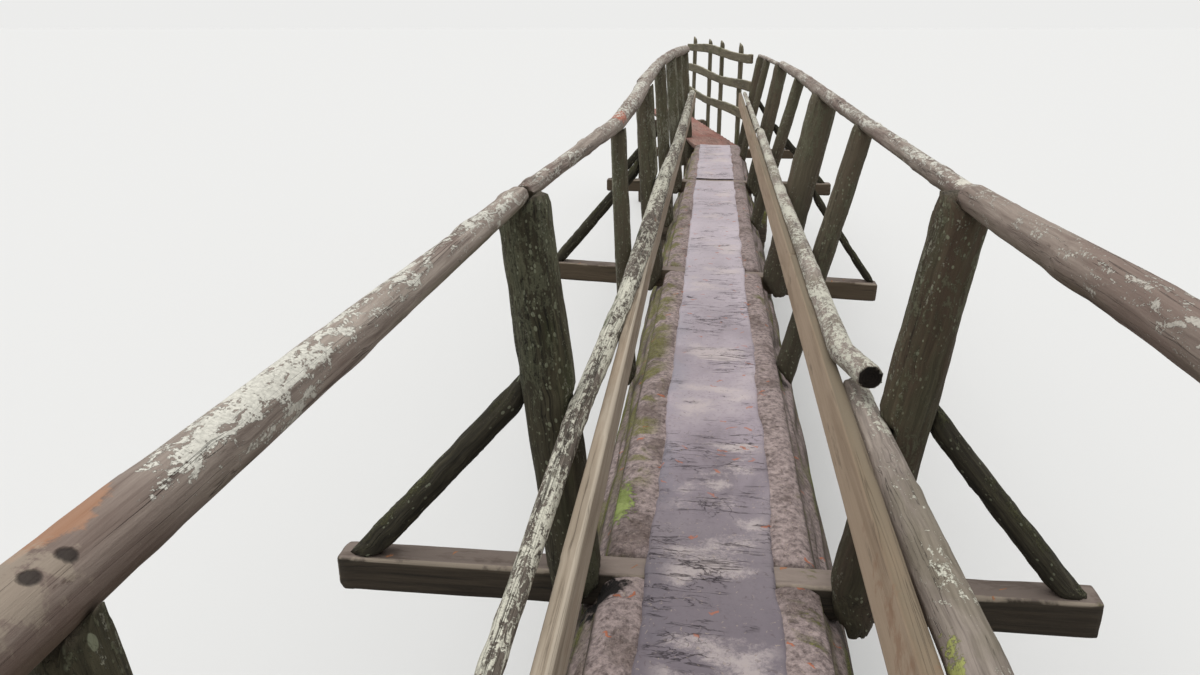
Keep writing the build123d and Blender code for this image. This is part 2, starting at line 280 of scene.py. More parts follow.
def weathered(name, nodes, voxel, carve, material, axis=None, end_reach=0.0, stretch=2.0):
    """One piece for the named CAD nodes, remeshed and carved inward by carve(grain, normals, points, seed).

    End faces are pushed out by end_reach, so that a post or brace still meets the carved timber that it cuts to."""
    points_of = []
    faces_of = []
    grain_of_all = []
    ends_of = []
    count = 0
    for node_name in nodes:
        for shell, faces in loose_solids(node_name):
            seed = len(points_of) * seed_step
            along = np.array(axis, float) if axis is not None else long_axis(shell)
            points, normals, sides = remeshed(shell, faces, voxel, along, stretch)
            grain = grain_of(points, along)
            facing = normals @ along
            ends = rising(np.abs(facing), 0.45, 0.3)
            push = np.sign(facing) * ends * end_reach
            points = points - normals * carve(grain, normals, points, seed)[:, None] + along * push[:, None]
            points_of.append(keep_inside(points))
            grain = centred(grain)
            grain[:, 2] += len(bpy.data.objects) * pattern_step + seed
            grain_of_all.append(grain)
            ends_of.append(rising(np.abs(facing), 0.75, 0.15))
            faces_of += [tuple(v + count for v in side) for side in sides]
            count += len(points)
    thing = new_object(name, np.concatenate(points_of), faces_of)
    add_attribute(thing, "grain", "FLOAT_VECTOR", np.concatenate(grain_of_all))
    add_attribute(thing, "end", "FLOAT", np.concatenate(ends_of))
    thing.data.materials.append(material)
    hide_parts(*nodes)
    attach(thing, "root")
    return thing


# Materials
def paint(red, green, blue):
    """A colour given as screen values 0 to 255, in the shader's own linear values."""
    def linear(value):
        value /= 255
        return value / 12.92 if value <= 0.04045 else ((value + 0.055) / 1.055) ** 2.4
    return (linear(red), linear(green), linear(blue), 1.0)


def node(tree, kind, values=None, **settings):
    """A shader node with its settings made and its inputs set or linked."""
    made = tree.nodes.new(kind)
    for key, value in settings.items():
        setattr(made, key, value)
    for key, value in (values or {}).items():
        socket = made.inputs[key]
        if isinstance(value, bpy.types.NodeSocket):
            tree.links.new(value, socket)
        else:
            socket.default_value = value
    return made


def arithmetic(tree, operation, first, second=0.0):
    """The result of one sum on two values."""
    return node(tree, "ShaderNodeMath", {0: first, 1: second}, operation=operation).outputs[0]


def between(tree, value, low, high):
    """0 where the value is at or under low, 1 at or over high, and smooth between."""
    made = node(tree, "ShaderNodeMapRange", {"Value": value, "From Min": low, "From Max": high},
                interpolation_type="SMOOTHSTEP")
    return made.outputs["Result"]


def ramp(tree, factor, *stops):
    """A colour ramp; each stop is (place, colour) or (place, grey)."""
    made = node(tree, "ShaderNodeValToRGB", {"Fac": factor})
    elements = made.color_ramp.elements
    while len(elements) < len(stops):
        elements.new(0.5)
    for element, (place, colour) in zip(elements, stops):
        element.position = place
        element.color = colour if isinstance(colour, tuple) else (colour, colour, colour, 1.0)
    return made.outputs["Color"]


class Surface:
    """A material made up of layers, each of which changes the colour and the height of the relief."""

    def __init__(self, name):
        self.material = bpy.data.materials.new(name)
        self.material.use_nodes = True
        self.tree = self.material.node_tree
        self.tree.nodes.clear()
        self.shader = node(self.tree, "ShaderNodeBsdfPrincipled", {"Specular IOR Level": 0.25})
        node(self.tree, "ShaderNodeOutputMaterial", {0: self.shader.outputs[0]})
        geometry = node(self.tree, "ShaderNodeNewGeometry")
        self.place = geometry.outputs["Position"]
        self.facing = node(self.tree, "ShaderNodeSeparateXYZ", {0: geometry.outputs["Normal"]}).outputs
        self.at = node(self.tree, "ShaderNodeSeparateXYZ", {0: self.place}).outputs
        self.grain = node(self.tree, "ShaderNodeAttribute", attribute_name="grain").outputs["Vector"]
        self.end = node(self.tree, "ShaderNodeAttribute", attribute_name="end").outputs["Fac"]

    def scaled(self, vector, *scale):
        return node(self.tree, "ShaderNodeVectorMath", {0: vector, 1: scale}, operation="MULTIPLY").outputs[0]

    def noise(self, vector, scale, detail=5.0, rough=0.62, warp=0.0):
        made = node(self.tree, "ShaderNodeTexNoise", {"Vector": vector, "Scale": scale, "Detail": detail,
                                                      "Roughness": rough, "Distortion": warp})
        return made.outputs["Fac"]

    def times(self, *factors):
        result = factors[0]
        for factor in factors[1:]:
            result = arithmetic(self.tree, "MULTIPLY", result, factor)
        return result

    def plus(self, *terms):
        result = terms[0]
        for term in terms[1:]:
            result = arithmetic(self.tree, "ADD", result, term)
        return result

    def step(self, value, low, high):
        return between(self.tree, value, low, high)

    def blend(self, factor, first, second):
        made = node(self.tree, "ShaderNodeMix", {"Factor": factor, 6: first, 7: second}, data_type="RGBA")
        return made.outputs[2]

    def top(self, low=0.1, high=0.8):
        return self.step(self.facing["Z"], low, high)

    def lay(self, mask, colour, rise=0.0):
        """A layer of a colour where the mask is 1, raised by a share of the relief."""
        self.colour = self.blend(mask, self.colour, colour)
        if rise:
            self.height = self.plus(self.height, self.times(mask, rise))

    def wood(self, dark, middle, light, streak=8.0):
        """Long streaks along the grain, with broader darker bands."""
        streaks = self.noise(self.scaled(self.grain, 1, 1, 0.045), streak * 10, 8.0, 0.65, 0.3)
        self.broad = self.noise(self.scaled(self.grain, 1, 1, 0.2), streak, 5.0, 0.6, 0.6)
        self.pits = self.noise(self.scaled(self.grain, 1, 1, 0.3), 150.0, 4.0, 0.7)
        self.colour = ramp(self.tree, streaks, (0.30, dark), (0.50, middle), (0.72, light))
        self.height = self.plus(self.times(streaks, 0.5), self.times(self.pits, 0.22))
        self.lay(self.times(self.step(self.broad, 0.44, 0.68), 0.5), dark)

    def patches(self, colour, scale=3.1, along=1.0, low=0.5, high=0.7, share=0.5, where=1.0, rise=0.0):
        """Soft patches, longer along the grain when along is under 1."""
        mask = self.step(self.noise(self.scaled(self.grain, 1, 1, along), scale, 6.0, 0.65, 0.4), low, high)
        self.lay(self.times(mask, share, where), colour, rise)

    def checks(self, colour, share=0.8, width=0.016, streak=8.0, low=0.42, high=0.6):
        """Dark drying cracks along the grain."""
        lines = self.noise(self.scaled(self.grain, 1, 1, 0.02), streak * 6, 3.0, 0.5, 0.2)
        line = arithmetic(self.tree, "ABSOLUTE", self.plus(lines, -0.5))
        mask = arithmetic(self.tree, "SUBTRACT", 1.0, self.step(line, 0.0, width))
        self.lay(self.times(mask, self.step(self.broad, low, high), share), colour, -0.9)

    def lichen(self, colour, cover, scale=6.0, along=0.3, share=0.85, rise=0.4, extra=None, top=0.05):
        """Pale crusts with broken edges; cover from 0 to 1 is about the share of the surface."""
        stretched = self.scaled(self.grain, 1, 1, along)
        patch = self.noise(stretched, scale, 7.0, 0.6, 0.5)
        flecks = self.noise(self.scaled(self.grain, 1, 1, along + 0.15), scale * 8, 6.0, 0.68, 0.6)
        fine = self.noise(self.place, 210.0, 3.0, 0.6)
        level = self.plus(self.times(patch, 0.42), self.times(flecks, 0.44), self.times(fine, 0.14))
        level = self.plus(level, self.times(self.top(-0.8, 0.8), top))
        if extra is not None:
            level = self.plus(level, extra)
        bar = 0.5 + (0.5 - cover) * 0.24 + top * 0.5
        mask = self.step(level, bar, bar + 0.025)
        shade = self.blend(self.step(fine, 0.35, 0.65), tuple(c * 0.74 for c in colour[:3]) + (1.0,), colour)
        self.lay(self.times(mask, share), shade, rise)

    def moss(self, colour, low, high, where=1.0, scale=6.0, along=0.5, share=0.9, rise=0.7):
        """Cushions of moss, dark between the tufts."""
        patch = self.noise(self.scaled(self.grain, 1, 1, along), scale, 8.0, 0.65, 0.5)
        tufts = self.noise(self.place, 230.0, 3.0, 0.7)
        mask = self.times(self.step(patch, low, high), self.step(tufts, 0.32, 0.52), where, share)
        shade = self.blend(self.step(tufts, 0.38, 0.66), tuple(c * 0.4 for c in colour[:3]) + (1.0,), colour)
        self.lay(mask, shade, rise)

    def dots(self, colour, share=0.7, size=0.016, radius=0.3, chosen=0.5, where=1.0, rise=0.2):
        """Small round crusts, one to a cell, in some of the cells only."""
        spread = self.scaled(self.grain, 1, 1, 0.7)
        cell = node(self.tree, "ShaderNodeTexVoronoi", {"Vector": spread, "Scale": 1 / size})
        pick = node(self.tree, "ShaderNodeSeparateColor", {0: cell.outputs["Color"]}).outputs
        reach = self.times(self.step(pick[1], 0.0, 1.0), radius)
        inside = self.step(arithmetic(self.tree, "SUBTRACT", reach, cell.outputs["Distance"]), 0.0, 0.08)
        self.lay(self.times(inside, self.step(pick[0], 1 - chosen, 1.02 - chosen), share, where), colour, rise)

    def spot(self, point, size, colour, share=0.9, ragged=0.7, rise=0.0, noise_scale=14.0):
        """One patch at a place on the bridge, with a ragged edge."""
        apart = node(self.tree, "ShaderNodeVectorMath", {0: self.place, 1: point}, operation="SUBTRACT").outputs[0]
        apart = self.scaled(apart, *(1 / length for length in size))
        reach = node(self.tree, "ShaderNodeVectorMath", {0: apart}, operation="LENGTH").outputs["Value"]
        edge = self.times(self.plus(self.noise(self.place, noise_scale, 6.0, 0.65), -0.5), ragged * 4)
        mask = arithmetic(self.tree, "SUBTRACT", 1.0, self.step(self.plus(reach, edge), 0.75, 1.05))
        self.lay(self.times(mask, share), colour, rise)
        return mask

    def litter(self, colour, size, turn, share=0.9, chosen=0.1, where=1.0, thin=0.28):
        """Needles and leaf bits lying on top, all long one way."""
        turned = node(self.tree, "ShaderNodeVectorRotate", {"Vector": self.place, "Angle": turn},
                      rotation_type="Z_AXIS").outputs[0]
        wander = node(self.tree, "ShaderNodeTexNoise", {"Vector": self.place, "Scale": 34.0, "Detail": 3.0})
        bend = self.scaled(wander.outputs["Color"], 0.05, 0.05, 0.0)
        turned = node(self.tree, "ShaderNodeVectorMath", {0: turned, 1: bend}, operation="ADD").outputs[0]
        cell = node(self.tree, "ShaderNodeTexVoronoi", {"Vector": self.scaled(turned, 1, thin, 1), "Scale": 1 / size},
                    voronoi_dimensions="2D")
        pick = node(self.tree, "ShaderNodeSeparateColor", {0: cell.outputs["Color"]}).outputs[0]
        bit = arithmetic(self.tree, "SUBTRACT", 1.0, self.step(cell.outputs["Distance"], 0.10, 0.16))
        mask = self.times(bit, self.step(pick, 1 - chosen, 1.01 - chosen), self.top(0.4, 0.7), share, where)
        self.lay(mask, colour, 0.3)

    def ends(self, dark, light):
        """End grain: rings round the timber's own centre line."""
        rings = node(self.tree, "ShaderNodeTexWave", {"Vector": self.grain, "Scale": 38.0, "Distortion": 2.5,
                                                      "Detail": 3.0, "Detail Scale": 1.5},
                     wave_type="RINGS", rings_direction="Z").outputs["Fac"]
        weather = self.noise(self.place, 30.0, 5.0, 0.7)
        shade = self.blend(self.times(rings, 0.6), light, dark)
        shade = self.blend(self.step(weather, 0.45, 0.7), shade, dark)
        self.lay(self.end, shade)

    def finish(self, relief, roughness=0.85):
        """Links colour, roughness and relief, in metres, to the shader, and returns the material."""
        rough = self.plus(self.times(self.noise(self.place, 90.0, 3.0), 0.2), roughness - 0.1)
        bump = node(self.tree, "ShaderNodeBump", {"Height": self.height, "Strength": 0.8, "Distance": relief})
        for value, socket in ((self.colour, "Base Color"), (rough, "Roughness"), (bump.outputs[0], "Normal")):
            self.tree.links.new(value, self.shader.inputs[socket])
        return self.material


# Single marks on the timber, at the places that the picture shows
orange_patch = (-0.562, 1.865, 2.635)
grey_patch = (-0.53, 1.78, 2.63)
knots = ((-0.53, 1.828, 2.617), (-0.53, 1.795, 2.628))
decay = (-0.46, 5.15, 2.61)
scarf_crust = (0.59, 3.69, 2.60)
pole_moss = (0.345, 2.545, 2.06)
plank_stain = (0.30, 1.6, 1.95)
moss_tuft = (-0.31, 3.90, 1.5)
hollow_mouth = (-0.36, 3.43, 1.48)

moss_green = paint(128, 132, 58)
dark_moss = paint(74, 88, 44)
pale_crust = paint(150, 154, 130)


def handrail_material():
    wood = Surface("handrail_wood")
    wood.wood(paint(104, 92, 84), paint(150, 138, 128), paint(184, 172, 160), streak=7)
    wood.patches(paint(112, 92, 84), scale=4.0, along=0.35, high=0.64, share=0.6)
    # dark greenish patches on the faces that look down: partly green staining, partly painted shade on the undersides
    wood.patches(paint(96, 92, 68), scale=5.0, along=0.3, low=0.40, high=0.6, share=0.6,
                 where=wood.step(wood.facing["Z"], 0.25, -0.5))
    wood.checks(paint(48, 42, 38), share=0.7, width=0.014)
    wood.patches(paint(70, 62, 54), scale=38.0, along=0.5, low=0.66, high=0.72, share=0.7)
    bare = wood.step(wood.at["Y"], 2.02, 1.86)
    left = wood.step(wood.at["X"], 0.0, -0.1)
    wood.lay(wood.times(bare, left, 0.55), paint(92, 72, 64))
    wood.spot(orange_patch, (0.026, 0.055, 0.026), paint(176, 128, 94), share=0.55, ragged=0.6, noise_scale=26.0)
    wood.spot(grey_patch, (0.06, 0.05, 0.03), paint(158, 146, 130), share=0.6, ragged=0.9, noise_scale=26.0)
    for knot in knots:
        wood.spot(knot, (0.011, 0.011, 0.011), paint(38, 32, 30), ragged=0.3, rise=-1.0)
        wood.spot(knot, (0.004, 0.004, 0.004), paint(120, 116, 112), share=0.7, ragged=0.2)
    wood.spot(decay, (0.06, 0.13, 0.05), paint(176, 98, 74), share=0.85, ragged=0.5, rise=-0.5, noise_scale=30.0)
    stretch = wood.times(wood.step(wood.at["Y"], 1.88, 2.02), wood.step(wood.at["Y"], 2.40, 2.20))
    streak = wood.times(stretch, left, wood.top(0.45, 0.80))
    near_right = wood.times(wood.step(wood.at["X"], 0.0, 0.1), wood.step(wood.at["Y"], 3.9, 3.5))
    extra = wood.plus(wood.times(streak, 0.052), wood.times(bare, left, -0.10), wood.times(near_right, -0.035))
    wood.lichen(paint(222, 220, 208), cover=0.31, scale=7.0, along=0.28, share=0.88, rise=0.35, extra=extra)
    wood.lay(wood.times(near_right, 0.4), paint(128, 112, 102))
    wood.spot(scarf_crust, (0.03, 0.05, 0.03), paint(218, 214, 200), share=0.85, ragged=0.9, rise=0.3, noise_scale=50.0)
    wood.lichen(paint(204, 202, 190), cover=0.17, scale=22.0, along=0.5, share=0.7, rise=0.2,
                extra=wood.times(bare, left, -0.12), top=0.04)
    wood.ends(paint(60, 52, 46), paint(110, 98, 86))
    return wood.finish(relief=0.005)


def left_pole_material():
    wood = Surface("left_pole_wood")
    wood.wood(paint(70, 62, 54), paint(112, 103, 94), paint(146, 136, 124), streak=9)
    wood.patches(paint(126, 84, 66), scale=14.0, along=0.4, low=0.60, share=0.7)
    wood.checks(paint(40, 36, 32), width=0.02)
    wood.lichen(paint(216, 213, 196), cover=0.56, scale=8.0, along=0.2, share=0.92, rise=0.6, top=0.02)
    wood.checks(paint(64, 58, 50), share=0.9, width=0.012, streak=5.0, low=0.3, high=0.5)
    wood.patches(paint(84, 76, 64), scale=55.0, along=0.35, low=0.58, high=0.65, share=0.75, rise=-0.3)
    wood.moss(dark_moss, low=0.56, high=0.66, where=wood.step(wood.facing["X"], -0.2, -0.8))
    wood.ends(paint(56, 50, 44), paint(104, 94, 82))
    return wood.finish(relief=0.005)


def right_pole_material():
    wood = Surface("right_pole_wood")
    wood.wood(paint(106, 97, 90), paint(146, 135, 126), paint(172, 161, 150))
    wood.patches(paint(104, 98, 78), scale=5.0, along=0.3, low=0.45, high=0.62)
    wood.checks(paint(52, 46, 42), share=0.6, width=0.010)
    further = wood.step(wood.at["Y"], 3.25, 3.6)
    wood.lichen(paint(212, 210, 194), cover=0.17, scale=8.0, along=0.4, extra=wood.times(further, 0.085), top=0.02)
    wood.spot(pole_moss, (0.022, 0.085, 0.05), paint(156, 162, 84), share=0.8, rise=0.8, noise_scale=60.0)
    wood.patches(paint(70, 62, 54), scale=40.0, along=0.5, low=0.67, high=0.73, share=0.6)
    # the end grain is near black: painted shadow of the dark gap behind the pole's end by the post
    wood.ends(paint(20, 17, 15), paint(36, 31, 27))
    return wood.finish(relief=0.004)


def post_material():
    wood = Surface("post_wood")
    wood.wood(paint(46, 43, 33), paint(74, 70, 54), paint(102, 97, 78))
    wood.patches(paint(92, 74, 62), scale=6.0, along=0.2, low=0.45, high=0.62, share=0.55,
                 where=wood.step(wood.at["X"], 0.0, 0.1))
    wood.patches(paint(62, 72, 42), scale=5.0, along=0.3, low=0.52, high=0.68)
    wood.checks(paint(24, 22, 18), share=0.85, width=0.018)
    further = wood.times(wood.step(wood.at["Y"], 4.0, 6.0), wood.step(wood.at["X"], 0.0, -0.1))
    wood.lay(wood.times(wood.step(wood.at["Y"], 4.0, 5.0), 0.4), paint(118, 108, 92))
    flank = wood.step(arithmetic(wood.tree, "ABSOLUTE", wood.facing["X"]), 0.55, 0.95)
    extra = wood.plus(wood.times(further, 0.055), wood.times(flank, 0.045))
    upper = wood.times(wood.step(wood.at["Z"], 1.9, 2.4), 0.03)
    wood.lichen(paint(112, 114, 92), cover=0.34, scale=10.0, along=0.35, share=0.55, rise=0.3, extra=upper, top=0.0)
    wood.lichen(paint(160, 158, 140), cover=0.13, scale=13.0, share=0.7, extra=extra, top=-0.01)
    wood.lay(wood.times(wood.step(wood.at["Z"], 2.25, 1.75), 0.45), paint(50, 45, 36))
    for size in (0.010, 0.016):
        wood.dots(paint(148, 152, 128), share=0.6, size=size, radius=0.36, chosen=0.45,
                  where=wood.step(wood.noise(wood.grain, 4.0), 0.42, 0.55))
    wood.ends(paint(52, 46, 38), paint(96, 88, 74))
    return wood.finish(relief=0.008)


def brace_material():
    wood = Surface("brace_wood")
    wood.wood(paint(34, 32, 25), paint(56, 52, 42), paint(82, 78, 62))
    wood.checks(paint(18, 17, 14), width=0.018)
    wood.moss(paint(96, 96, 62), low=0.46, high=0.60, where=wood.top(-0.1, 0.6), scale=12.0, share=0.65, rise=0.9)
    wood.lichen(paint(120, 120, 96), cover=0.20, scale=18.0, along=0.5, share=0.6)
    wood.dots(paint(142, 146, 124), share=0.5, size=0.014, radius=0.36, chosen=0.3)
    wood.ends(paint(44, 38, 32), paint(88, 78, 66))
    return wood.finish(relief=0.010)


def beam_material():
    wood = Surface("beam_wood")
    wood.wood(paint(44, 39, 33), paint(66, 58, 49), paint(88, 78, 66), streak=7)
    # painted light: the beams from the third one on are made lighter all over, as where the sun falls on them
    lit_far_beams = wood.times(wood.step(wood.at["Y"], 5.0, 6.0), 0.5)
    wood.lay(lit_far_beams, paint(112, 98, 80))
    wood.checks(paint(22, 20, 17), share=0.85)
    wood.lay(wood.times(wood.top(0.3, 0.9), 0.85), paint(126, 114, 106))
    wood.patches(paint(92, 80, 72), scale=16.0, along=0.4, low=0.48, high=0.62, share=0.7, where=wood.top(0.3, 0.9))
    inner = wood.step(arithmetic(wood.tree, "ABSOLUTE", wood.at["X"]), 0.42, 0.36)
    wood.lay(wood.times(inner, wood.top(0.3, 0.9), 0.6), paint(158, 144, 134))
    # painted shade on the near beams' faces that look back along the walk
    shaded_near_fronts = wood.times(wood.step(wood.facing["Y"], -0.6, -0.95), wood.step(wood.at["Y"], 5.0, 4.5))
    wood.lay(wood.times(shaded_near_fronts, 0.3), paint(44, 41, 33))
    # painted highlight: a pale line along the beams' front top edge
    edge_highlight = wood.step(wood.times(wood.facing["Z"], wood.facing["Y"], -1.0), 0.22, 0.42)
    wood.lay(wood.times(edge_highlight, wood.step(wood.noise(wood.grain, 9.0), 0.40, 0.52), 0.75), paint(160, 148, 132))
    wood.moss(moss_green, low=0.60, high=0.70, where=wood.top(0.3, 0.8), scale=8.0)
    wood.litter(paint(166, 112, 76), size=0.030, turn=0.7, share=0.8, chosen=0.2)
    wood.ends(paint(66, 58, 50), paint(122, 112, 98))
    return wood.finish(relief=0.006)


def plank_material():
    wood = Surface("plank_wood")
    wood.wood(paint(128, 115, 98), paint(160, 147, 130), paint(182, 170, 153), streak=5)
    right = wood.step(wood.at["X"], 0.0, 0.1)
    wood.lay(wood.times(right, 0.65), paint(192, 169, 144))
    # painted shadow on the right plank's top, which lies partly under the log
    wood.lay(wood.times(right, wood.top(), 0.8), paint(98, 90, 74))
    wood.patches(paint(140, 120, 98), scale=5.0, along=0.15, low=0.46, high=0.66, share=0.55)
    wood.patches(paint(112, 100, 84), scale=22.0, along=0.2, low=0.60)
    wood.checks(paint(92, 80, 66), share=0.7, width=0.010, streak=6.0, low=0.46, high=0.62)
    wood.spot(plank_stain, (0.1, 1.2, 0.09), paint(140, 98, 70), share=0.45, ragged=0.5)
    # painted highlight: a pale line along each plank's inner top edge
    inward = wood.blend(right, (1, 1, 1, 1), (-1, -1, -1, 1))
    edge = wood.step(wood.times(wood.facing["Z"], wood.facing["X"], inward), 0.25, 0.42)
    wood.lay(wood.times(edge, 0.6), paint(200, 188, 170))
    wood.ends(paint(104, 88, 70), paint(160, 144, 122))
    return wood.finish(relief=0.0025, roughness=0.8)


def fence_material():
    wood = Surface("fence_wood")
    wood.wood(paint(78, 72, 58), paint(110, 103, 84), paint(136, 128, 106), streak=5)
    wood.checks(paint(50, 44, 36), share=0.6)
    wood.lay(wood.times(wood.top(0.3, 0.8), 0.7), paint(168, 162, 142))
    wood.moss(paint(96, 104, 62), low=0.54, high=0.66)
    wood.lichen(paint(160, 162, 138), cover=0.16, scale=8.0)
    wood.ends(paint(76, 66, 54), paint(132, 120, 102))
    return wood.finish(relief=0.006)


def crib_material():
    wood = Surface("crib_wood")
    wood.wood(paint(62, 54, 45), paint(92, 82, 70), paint(118, 107, 93), streak=6)
    wood.checks(paint(34, 30, 25))
    wood.moss(moss_green, low=0.48, high=0.60, where=wood.top(0.0, 0.7))
    wood.lichen(pale_crust, cover=0.18, scale=8.0)
    wood.ends(paint(70, 60, 50), paint(130, 116, 98))
    return wood.finish(relief=0.010)


def walk_litter(surface, share=1.0):
    """Needles, leaf bits and chips that lie on the walk."""
    for turn in (0.3, 1.5, 2.6):
        surface.litter(paint(184, 168, 150), size=0.012, turn=turn, share=0.5 * share, chosen=0.09, thin=0.45)
        surface.litter(paint(80, 64, 58), size=0.016, turn=turn + 0.5, share=0.4 * share, chosen=0.12, thin=0.35)
    for turn in (0.9, 2.2):
        surface.litter(paint(184, 110, 78), size=0.036, turn=turn, share=0.85 * share, chosen=0.08)


def log_material():
    wood = Surface("log_wood")
    wood.wood(paint(46, 38, 31), paint(70, 59, 49), paint(98, 85, 71), streak=5)
    wood.moss(moss_green, low=0.50, high=0.62, where=wood.step(wood.facing["Z"], -0.4, 0.3), scale=5.0)
    top = wood.top(0.35, 0.8)
    soil = wood.noise(wood.place, 48.0, 7.0, 0.75)
    earth = ramp(wood.tree, soil, (0.36, paint(98, 86, 84)), (0.5, paint(152, 137, 134)), (0.64, paint(182, 165, 160)))
    wood.lay(wood.times(top, 0.93), earth)
    wood.patches(paint(112, 94, 88), scale=5.0, along=0.5, low=0.48, high=0.66, where=top)
    left = wood.step(wood.at["X"], -0.20, -0.27)
    walk_litter(wood)
    mossy = wood.times(left, wood.top(0.1, 0.6), wood.step(wood.at["Y"], 3.7, 4.3))
    wood.moss(paint(142, 142, 66), low=0.46, high=0.57, where=mossy, scale=5.5, along=0.35, share=0.75, rise=0.5)
    right = wood.times(wood.step(wood.at["X"], 0.18, 0.24), wood.top(0.1, 0.6))
    wood.moss(paint(128, 130, 62), low=0.58, high=0.68, where=right)
    wood.spot(moss_tuft, (0.045, 0.13, 0.06), paint(146, 164, 84), share=0.8, ragged=0.8, rise=0.8, noise_scale=60.0)
    # near-black spot: painted shade inside the hollow
    wood.spot(hollow_mouth, (0.12, 0.055, 0.12), paint(14, 12, 11), share=0.97, ragged=0.5, rise=-1.0, noise_scale=30.0)
    wood.ends(paint(70, 58, 48), paint(128, 112, 94))
    return wood.finish(relief=0.010)


def landing_material():
    wood = Surface("landing_wood")
    wood.wood(paint(104, 80, 72), paint(146, 116, 106), paint(172, 142, 130), streak=6)
    wood.patches(paint(150, 100, 88), scale=3.0, along=0.4, low=0.42, high=0.6, share=0.7, where=wood.top())
    wood.checks(paint(70, 52, 46), share=0.7)
    walk_litter(wood, 0.8)
    wood.ends(paint(80, 62, 54), paint(140, 116, 102))
    return wood.finish(relief=0.006)


def felt_material():
    felt = Surface("tread_felt")
    broad = felt.noise(felt.scaled(felt.place, 1, 0.6, 1), 2.2, 5.0, 0.6, 0.4)
    felt.colour = ramp(felt.tree, broad, (0.34, paint(134, 124, 130)), (0.5, paint(166, 155, 162)),
                       (0.66, paint(182, 171, 175)))
    grit = felt.noise(felt.place, 420.0, 3.0, 0.7)
    fine = felt.noise(felt.place, 70.0, 6.0, 0.75)
    felt.height = felt.plus(felt.times(grit, 0.25), felt.times(fine, 0.4))
    bluish = felt.step(felt.at["X"], -0.08, -0.19)
    felt.lay(felt.times(bluish, felt.step(felt.noise(felt.place, 3.0), 0.4, 0.6), 0.6), paint(134, 134, 144))
    felt.lay(felt.times(felt.step(fine, 0.50, 0.66), 0.45), paint(132, 120, 124))
    # painted shade over the near length of the felt, and painted light over the far length
    felt.lay(felt.times(felt.step(felt.at["Y"], 4.9, 3.3), 0.75), paint(102, 95, 101))
    felt.lay(felt.times(felt.step(felt.at["Y"], 4.4, 7.0), 0.55), paint(208, 198, 204))
    # soft worn patches, wider than long
    worn = felt.noise(felt.scaled(felt.place, 0.62, 1, 1), 5.6, 3.0, 0.45, 0.2)
    middle = felt.step(arithmetic(felt.tree, "ABSOLUTE", felt.at["X"]), 0.19, 0.10)
    rubbed = felt.step(felt.plus(worn, felt.times(fine, 0.35)), 0.71, 0.85)
    felt.lay(felt.times(rubbed, middle, 0.6), paint(204, 192, 188))
    # thin cracks and creases, mostly across the walk
    creases = ((4.0, 0.35, 0.006, 0.52), (7.0, 0.50, 0.006, 0.52), (11.0, 0.16, 0.012, 0.46))
    for scale, long, width, cover in creases:
        lines = felt.noise(felt.scaled(felt.place, long, 1, 1), scale, 6.0, 0.6, 0.8)
        line = arithmetic(felt.tree, "ABSOLUTE", felt.plus(lines, -0.5))
        mask = arithmetic(felt.tree, "SUBTRACT", 1.0, felt.step(line, 0.0, width))
        cracked = felt.step(felt.noise(felt.place, 3.7, 3.0), cover, cover + 0.08)
        felt.lay(felt.times(mask, cracked, 0.8), paint(58, 50, 54), -1.0)
    walk_litter(felt, 0.8)
    return felt.finish(relief=0.004, roughness=0.8)


handrail_wood = handrail_material()
left_pole_wood = left_pole_material()
right_pole_wood = right_pole_material()
post_wood = post_material()
brace_wood = brace_material()
beam_wood = beam_material()
plank_wood = plank_material()
fence_wood = fence_material()
crib_wood = crib_material()
log_wood = log_material()
landing_wood = landing_material()
tread_felt = felt_material()


def shifted(grain, seed, step):
    """The grain's places moved along the timber, so that no two timbers are alike."""
    return grain + np.array([0.0, 0.0, seed * step])


def bark(depth, across, along, lump=0.003):
    """Carving for barked timber: long furrows and slow lumps."""
    def carve(grain, normals, points, seed):
        place = shifted(grain, seed, 7.3)
        furrow = 1 - ridged(place / np.array([across, across, along]), 3, seed)
        lumps = layered(place / np.array([0.11, 0.11, 0.4]), 3, seed + 50)
        pits = layered(place / np.array([0.02, 0.02, 0.05]), 2, seed + 90)
        return depth * np.clip(furrow, 0, 1) ** 3 + lump * 2 * lumps + depth * 0.25 * pits
    return carve


def peeled(lump, knot, check=0.002):
    """Carving for peeled poles: slow lumps, a few swollen knots and long thin checks."""
    def carve(grain, normals, points, seed):
        place = shifted(grain, seed, 11.7)
        lumps = layered(place / np.array([0.14, 0.14, 0.55]), 3, seed)
        swell = rising(layered(place / np.array([0.07, 0.07, 0.12]), 2, seed + 31), 0.62, 0.18)
        lines = ridged(place / np.array([0.035, 0.035, 1.1]), 2, seed + 12)
        flakes = layered(place / np.array([0.012, 0.012, 0.04]), 2, seed + 77)
        return knot + lump * lumps - knot * swell + check * np.clip(1 - lines * 9, 0, 1) + 0.0012 * flakes
    return carve


def sawn(depth):
    """Carving for squared timber: worn along the grain, with rounded bruises."""
    def carve(grain, normals, points, seed):
        place = shifted(grain, seed, 5.1)
        lines = layered(place / np.array([0.012, 0.012, 0.35]), 3, seed)
        bruise = np.clip(layered(place / np.array([0.05, 0.05, 0.16]), 3, seed + 9) - 0.55, 0, 1)
        return depth * (lines + 3 * bruise)
    return carve


